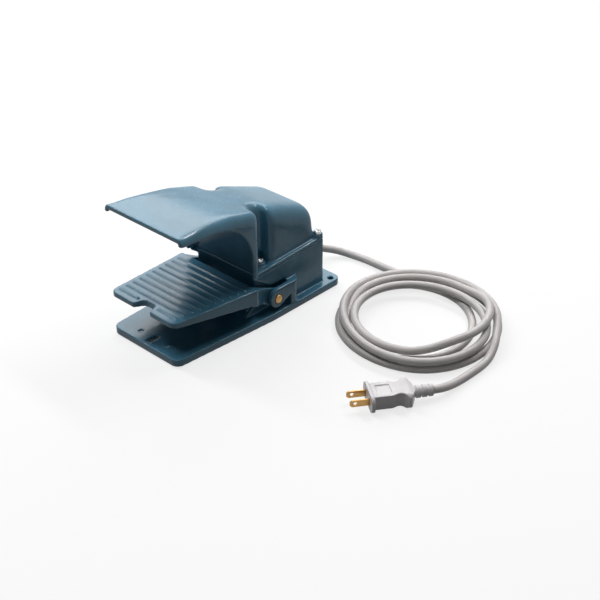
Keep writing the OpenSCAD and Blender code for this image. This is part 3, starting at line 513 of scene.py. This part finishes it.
def cord_route():
    """The cord from the boot's tip to the plug's strain relief."""
    low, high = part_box("cord_boot")
    exit_point = Vector(((low.x + high.x) / 2, high.y, (low.z + high.z) / 2))
    coil = [coil_point(COIL_TURNS * i / COIL_STEPS) for i in range(COIL_STEPS + 1)]
    heading = Vector((-math.sin(PLUG_TURN), math.cos(PLUG_TURN), 0))
    end = from_toe(PLUG_FACE) - PLUG_L * MM * heading
    return [exit_point, *(from_toe(point) for point in [*LEAD_ROUTE, *coil, *TAIL_ROUTE]), end]


SPRING_R, SPRING_WIRE, SPRING_TURNS = 5.75, 1.5, 8
SPRING_FOOT, SPRING_H = (0, 76, 8), 30.76
# Rise of each of the two close end turns
SPRING_END = 2
SPRING_STEPS = 24 * SPRING_TURNS


def spring_point(turn):
    """A point on the spring's wire, whose two end turns lie close."""
    height = SPRING_H - SPRING_WIRE
    pitch = (height - 2 * SPRING_END) / (SPRING_TURNS - 2)
    if turn < 1:
        rise = turn * SPRING_END
    elif turn > SPRING_TURNS - 1:
        rise = height - (SPRING_TURNS - turn) * SPRING_END
    else:
        rise = SPRING_END + (turn - 1) * pitch
    a = math.radians(360 * turn)
    x, y, z = SPRING_FOOT
    return (x + SPRING_R * math.cos(a), y + SPRING_R * math.sin(a), z + SPRING_WIRE / 2 + rise)


def route_length(points):
    return sum((b - a).length for a, b in zip(points, points[1:]))


# ---------------------------------------------------------------- settings


class FootSwitchLooks(bpy.types.PropertyGroup):
    enamel_colour: bpy.props.FloatVectorProperty(
        name="Enamel", description="Colour of the castings' stove enamel", subtype="COLOR",
        size=3, min=0, max=1, default=(0.058, 0.185, 0.275))
    cord_colour: bpy.props.FloatVectorProperty(
        name="Cord", description="Colour of the cord's jacket", subtype="COLOR",
        size=3, min=0, max=1, default=(0.54, 0.515, 0.505))
    plug_colour: bpy.props.FloatVectorProperty(
        name="Plug", description="Colour of the moulded plug", subtype="COLOR",
        size=3, min=0, max=1, default=(0.67, 0.65, 0.66))
    brass_colour: bpy.props.FloatVectorProperty(
        name="Brass", description="Colour of the pivot pin and the blades", subtype="COLOR",
        size=3, min=0, max=1, default=(0.42, 0.25, 0.095))


class FootSwitchSizes(bpy.types.PropertyGroup):
    casting_edge: bpy.props.FloatProperty(
        name="Casting edge", description="Grain to which the castings' edges are softened",
        subtype="DISTANCE", unit="LENGTH", min=0.0001, max=0.001, default=0.0006)
    cord_diameter: bpy.props.FloatProperty(
        name="Cord diameter", description="Outer diameter of the cord", subtype="DISTANCE",
        unit="LENGTH", min=0.006, max=0.0076, default=0.0074)


class FootSwitchStage(bpy.types.PropertyGroup):
    overhead: bpy.props.FloatProperty(
        name="Overhead", description="Power of the soft lamp above", subtype="POWER",
        unit="POWER", min=0, max=200, default=4.5)
    strips: bpy.props.FloatProperty(
        name="Strips", description="Power of each of the two narrow lamps that draw out the edges",
        subtype="POWER", unit="POWER", min=0, max=200, default=11)
    backlight: bpy.props.FloatProperty(
        name="Backlight", description="Power of the soft lamp behind", subtype="POWER",
        unit="POWER", min=0, max=200, default=12)
    fill: bpy.props.FloatProperty(
        name="Fill", description="Strength of the even light from all round", min=0, max=1, default=0.05)
    lens: bpy.props.FloatProperty(
        name="Lens", description="Focal length in millimetres", min=20, max=200, default=72.5)


# ---------------------------------------------------------------- stage

SEEN_RAYS = ("Is Camera Ray", "Is Glossy Ray", "Is Transmission Ray")
CAMERA_PLACE, CAMERA_AIM = Vector((0.6961, -0.6447, 0.5946)), Vector((0.0415, 0.0529, 0))
CAMERA_ROLL = math.radians(-0.09)
SENSOR_W = 36
# Each lamp's place, aim, size and power setting
LAMPS = {
    "overhead": ((-0.1, -0.3, 1.5), (0.05, 0.05, 0), (0.7, 0.7), "overhead"),
    "rear_strip": ((0.1, 0.95, 1.3), (0.03, 0, 0), (0.9, 0.14), "strips"),
    "left_strip": ((-0.95, -0.2, 1.25), (0, -0.05, 0), (0.14, 0.9), "strips"),
    "backlight": ((-0.95, 1.0, 1.0), (0.03, 0.05, 0.05), (1.3, 0.8), "backlight"),
}
FLOOR_SIZE = 40
FLOOR_DROP = 0.0002
# The floor's own white near the part and far from it
NEAR_WHITE = 0.75
FADE_START, FADE_END = 0.4, 1.4


def soft_lamp(name, place, aim, size, power):
    lamp = bpy.data.lights.new(name, "AREA")
    lamp.shape = "RECTANGLE"
    lamp.size, lamp.size_y = size
    lamp.energy = power
    holder = bpy.data.objects.new(name, lamp)
    bpy.context.collection.objects.link(holder)
    holder.location = place
    holder.rotation_euler = (Vector(aim) - Vector(place)).to_track_quat("-Z", "Y").to_euler()


class FOOTSWITCH_OT_stage(bpy.types.Operator):
    """Sets up the camera, the lamps and a pale floor"""

    bl_idname = "foot_switch.stage"
    bl_label = "Stage"

    def execute(self, context):
        stage = context.scene.foot_switch_stage
        camera = bpy.data.objects.new("camera", bpy.data.cameras.new("camera"))
        context.collection.objects.link(camera)
        camera.data.lens = stage.lens
        camera.data.sensor_width = SENSOR_W
        camera.data.clip_start, camera.data.clip_end = 0.01, 30
        turn = (CAMERA_AIM - CAMERA_PLACE).to_track_quat("-Z", "Y").to_matrix().to_4x4()
        camera.matrix_world = Matrix.Translation(CAMERA_PLACE) @ turn @ Matrix.Rotation(CAMERA_ROLL, 4, "Z")
        context.scene.camera = camera
        for name, (place, aim, size, power) in LAMPS.items():
            soft_lamp(name, place, aim, size, getattr(stage, power))
        self.floor(context)
        self.surroundings(context, stage.fill)
        context.scene.view_settings.view_transform = "Standard"
        return {"FINISHED"}

    @staticmethod
    def floor(context):
        deselect()
        bpy.ops.mesh.primitive_plane_add(size=FLOOR_SIZE, location=(0, 0, -FLOOR_DROP))
        floor = context.object
        floor.name = "floor"
        bpy.ops.object.mode_set(mode="EDIT")
        bpy.ops.mesh.subdivide(number_cuts=3)
        bpy.ops.object.mode_set(mode="OBJECT")
        paint = Paint("pale_floor")
        paint.set(Base_Color=(0.20, 0.20, 0.20, 1), Roughness=0.9, Specular_IOR_Level=0.0)
        lit = paint.node("ShaderNodeBsdfDiffuse", None, (0.92, 0.92, 0.92, 1))
        white = paint.node("ShaderNodeEmission", None, (1, 1, 1, 1), 1.0)
        x, y, _ = paint.axes()
        away = (x * x + y * y) ** 0.5
        share = NEAR_WHITE + (1 - NEAR_WHITE) * away.step(FADE_START, FADE_END)
        shown = paint.node("ShaderNodeMixShader", None, share, lit, white)
        rays = [paint.node("ShaderNodeLightPath", out=name) for name in SEEN_RAYS]
        seen = rays[0].most(rays[1]).most(rays[2])
        unseen = Socket(paint, paint.shader.outputs[0])
        mixed = paint.node("ShaderNodeMixShader", None, seen, unseen, shown)
        paint.tree.links.new(mixed.output, paint.tree.nodes["Material Output"].inputs["Surface"])
        wear(floor, paint.material)

    @staticmethod
    def surroundings(context, fill):
        world = bpy.data.worlds.new("studio")
        context.scene.world = world
        world.use_nodes = True
        tree = world.node_tree
        background = tree.nodes["Background"]
        rays = tree.nodes.new("ShaderNodeLightPath")
        seen = None
        for name in SEEN_RAYS:
            if seen is None:
                seen = rays.outputs[name]
                continue
            most = tree.nodes.new("ShaderNodeMath")
            most.operation = "MAXIMUM"
            tree.links.new(seen, most.inputs[0])
            tree.links.new(rays.outputs[name], most.inputs[1])
            seen = most.outputs[0]
        strength = tree.nodes.new("ShaderNodeMapRange")
        strength.inputs["To Min"].default_value = fill
        strength.inputs["To Max"].default_value = 1.0
        tree.links.new(seen, strength.inputs["Value"])
        tree.links.new(strength.outputs[0], background.inputs["Strength"])
        background.inputs["Color"].default_value = (1, 1, 1, 1)


# ---------------------------------------------------------------- pieces


class FOOTSWITCH_OT_cord(bpy.types.Operator):
    """Lays the free cord from the boot to the plug"""

    bl_idname = "foot_switch.cord"
    bl_label = "Mains cord"

    def execute(self, context):
        diameter = context.scene.foot_switch_sizes.cord_diameter
        points = cord_route()
        curve = bpy.data.curves.new("mains_cord", "CURVE")
        curve.dimensions = "3D"
        curve.resolution_u = SPLINE_STEPS
        curve.bevel_depth = diameter / 2
        curve.bevel_resolution = 5
        curve.use_fill_caps = True
        spline = curve.splines.new("BEZIER")
        spline.bezier_points.add(len(points) - 1)
        for knot, point in zip(spline.bezier_points, points):
            knot.co = point
            knot.handle_left_type = knot.handle_right_type = "AUTO"
        spline.resolution_u = SPLINE_STEPS
        cord = bpy.data.objects.new("mains_cord", curve)
        context.collection.objects.link(cord)
        curve.materials.append(finish_of("cord_pvc"))
        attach(cord, "base")
        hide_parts("cord_lead", "cord_coil", "cord_tail")
        route_length(points)
        return {"FINISHED"}


CASTING_ROUNDS, CASTING_TRIANGLES = 9, 190000
COVER_SOFT_ROUNDS = 450
GRIP_GRAIN, GRIP_ROUNDS, GRIP_TRIANGLES = 0.0003, 6, 80000
PRONG_EDGE = 0.0002


class FOOTSWITCH_OT_castings(bpy.types.Operator):
    """Rounds the edges of the base, the cover and the pedal, and enamels them"""

    bl_idname = "foot_switch.castings"
    bl_label = "Castings"

    def execute(self, context):
        edge = context.scene.foot_switch_sizes.casting_edge
        for node, name, softness, soft_rounds in (
                ("base_casting", "base", None, 0),
                ("cover_casting", "cover", cover_softness, COVER_SOFT_ROUNDS),
                ("pedal_casting", "pedal", None, 0)):
            piece = cast_copy(
                node, name, edge, CASTING_ROUNDS, CASTING_TRIANGLES, softness, soft_rounds)
            settle(wear(piece, finish_of("enamel")), node)
        return {"FINISHED"}


class FOOTSWITCH_OT_small_parts(bpy.types.Operator):
    """Rounds and finishes the screws, nuts, pin, switch, feet and boot"""

    bl_idname = "foot_switch.small_parts"
    bl_label = "Small parts"

    PARTS = (
        ("rubber_feet", "feet", "foot_rubber", 0.0004),
        ("cover_screws", "cover_screw_set", "zinc_plated", 0.00025),
        ("pivot_pin", "pin", "brass", 0.0005),
        ("pivot_bushes", "bush_pair", "bronze", 0.0002),
        ("adjusting_screw", "adjuster", "zinc_plated", 0.0002),
        ("lock_nut", "adjuster_nut", "zinc_plated", 0.0002),
        ("switch_bracket", "bracket", "sheet_steel", 0.0002),
        ("bracket_screws", "bracket_screw_pair", "zinc_plated", 0.0002),
        ("switch_case", "case", "phenolic", 0.0004),
        ("switch_plunger", "plunger", "plunger_plastic", 0.0003),
        ("switch_terminals", "terminal_set", "brass", 0.0001),
        ("terminal_screws", "terminal_screw_set", "brass", 0.00015),
        ("switch_screws", "switch_screw_pair", "zinc_plated", 0.0002),
        ("switch_nuts", "switch_nut_pair", "zinc_plated", 0.0002),
        ("cord_boot", "boot", "cord_pvc", 0.0003),
        ("cord_jacket", "jacket_end", "cord_pvc", 0.0001),
    )

    def execute(self, context):
        for node, name, slot, edge in self.PARTS:
            piece = rounded_copy(node, name, edge, 2)
            settle(wear(piece, finish_of(slot)), node)
        return {"FINISHED"}


class FOOTSWITCH_OT_wires(bpy.types.Operator):
    """Finishes the return spring and the two inner wires"""

    bl_idname = "foot_switch.wires"
    bl_label = "Spring and wires"

    def execute(self, context):
        self.wires()
        self.spring()
        return {"FINISHED"}

    @staticmethod
    def wires():
        """One of the two wires is marked, and its insulation is white."""
        piece = only(merged_copy("inner_wires", "wire_pair"))
        bpy.ops.object.shade_smooth_by_angle(angle=math.radians(60))
        bpy.ops.object.mode_set(mode="EDIT")
        bpy.ops.mesh.select_mode(type="VERT")
        bpy.ops.mesh.select_all(action="DESELECT")
        bpy.ops.object.mode_set(mode="OBJECT")
        piece.data.vertices[0].select = True
        bpy.ops.object.mode_set(mode="EDIT")
        bpy.ops.mesh.select_linked()
        bpy.ops.object.mode_set(mode="OBJECT")
        mark = piece.data.attributes.new("white_wire", "FLOAT", "POINT")
        mark.data.foreach_set("value", [float(v.select) for v in piece.data.vertices])
        settle(wear(piece, finish_of("wire_insulation")), "inner_wires")

    @staticmethod
    def spring():
        """A wound wire with two close end turns, in the return spring's place."""
        points = [
            from_toe(spring_point(SPRING_TURNS * i / SPRING_STEPS)) for i in range(SPRING_STEPS + 1)]
        curve = bpy.data.curves.new("spring", "CURVE")
        curve.dimensions = "3D"
        curve.bevel_depth = SPRING_WIRE / 2 * MM
        curve.bevel_resolution = 4
        curve.use_fill_caps = True
        spline = curve.splines.new("POLY")
        spline.points.add(len(points) - 1)
        for knot, point in zip(spline.points, points):
            knot.co = (*point, 1)
        piece = bpy.data.objects.new("spring", curve)
        bpy.context.collection.objects.link(piece)
        only(piece)
        bpy.ops.object.convert(target="MESH")
        bpy.ops.object.mode_set(mode="EDIT")
        bpy.ops.mesh.select_all(action="SELECT")
        bpy.ops.mesh.remove_doubles(threshold=MERGE_DISTANCE)
        bpy.ops.mesh.normals_make_consistent(inside=False)
        bpy.ops.object.mode_set(mode="OBJECT")
        bpy.ops.object.shade_smooth_by_angle(angle=math.radians(50))
        settle(wear(piece, finish_of("spring_wire")), "return_spring")
        from_toe(SPRING_FOOT)
        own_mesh(piece)


class FOOTSWITCH_OT_plug(bpy.types.Operator):
    """Rounds and finishes the plug and its blades"""

    bl_idname = "foot_switch.plug"
    bl_label = "Plug"

    def execute(self, context):
        grip = cast_copy("plug_body", "plug_grip", GRIP_GRAIN, GRIP_ROUNDS, GRIP_TRIANGLES)
        settle(wear(grip, finish_of("plug_pvc")), "plug_body")
        prongs = rounded_copy("plug_blades", "plug_prongs", PRONG_EDGE, 3)
        settle(wear(prongs, finish_of("brass")), "plug_blades")
        return {"FINISHED"}


class FOOTSWITCH_PT_panel(bpy.types.Panel):
    """Lists the steps that dress the foot switch"""

    bl_idname = "FOOTSWITCH_PT_panel"
    bl_label = "Foot switch"
    bl_space_type = "VIEW_3D"
    bl_region_type = "UI"
    bl_category = "Foot switch"

    def draw(self, context):
        for group in ("foot_switch_looks", "foot_switch_sizes", "foot_switch_stage"):
            settings = getattr(context.scene, group)
            for name in settings.__annotations__:
                self.layout.prop(settings, name)
        for step in STEPS:
            self.layout.operator(step.bl_idname)


STEPS = (
    FOOTSWITCH_OT_stage, FOOTSWITCH_OT_plug, FOOTSWITCH_OT_cord, FOOTSWITCH_OT_castings,
    FOOTSWITCH_OT_small_parts, FOOTSWITCH_OT_wires,
)
GROUPS = (
    ("foot_switch_looks", FootSwitchLooks), ("foot_switch_sizes", FootSwitchSizes),
    ("foot_switch_stage", FootSwitchStage),
)


def register():
    for name, group in GROUPS:
        bpy.utils.register_class(group)
        setattr(bpy.types.Scene, name, bpy.props.PointerProperty(type=group))
    for step in (*STEPS, FOOTSWITCH_PT_panel):
        bpy.utils.register_class(step)


def unregister():
    for step in reversed((*STEPS, FOOTSWITCH_PT_panel)):
        bpy.utils.unregister_class(step)
    for name, group in reversed(GROUPS):
        delattr(bpy.types.Scene, name)
        bpy.utils.unregister_class(group)


def main():
    register()
    for step in STEPS:
        section, name = step.bl_idname.split(".")
        getattr(getattr(bpy.ops, section), name)()
    deselect()


if __name__ == "__main__":
    main()
